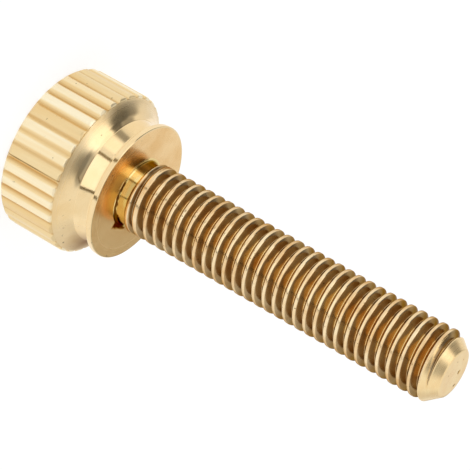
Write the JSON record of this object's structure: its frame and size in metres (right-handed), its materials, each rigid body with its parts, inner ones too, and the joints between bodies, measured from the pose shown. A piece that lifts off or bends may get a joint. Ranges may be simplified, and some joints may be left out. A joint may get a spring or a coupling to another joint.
{
  "type": "thumb screw",
  "caption": "Turned brass thumb screw with a straight-knurled finger head, a narrow waist, a thin bearing collar and a long right-hand threaded shank with a tapered tip.",
  "frame": {"origin": "centre of the head's flat, on the surface that the screw stands on", "axes": "+Z along the screw's axis from the head to the tip, +X and +Y across it"},
  "size_m": [0.0116, 0.0116, 0.0322],
  "materials": {
    "brass": "bright turned brass, polished by the tool, with fine tool lines"
  },
  "bodies": {
    "root": {"thumb_screw": "brass"}
  },
  "joints": []
}
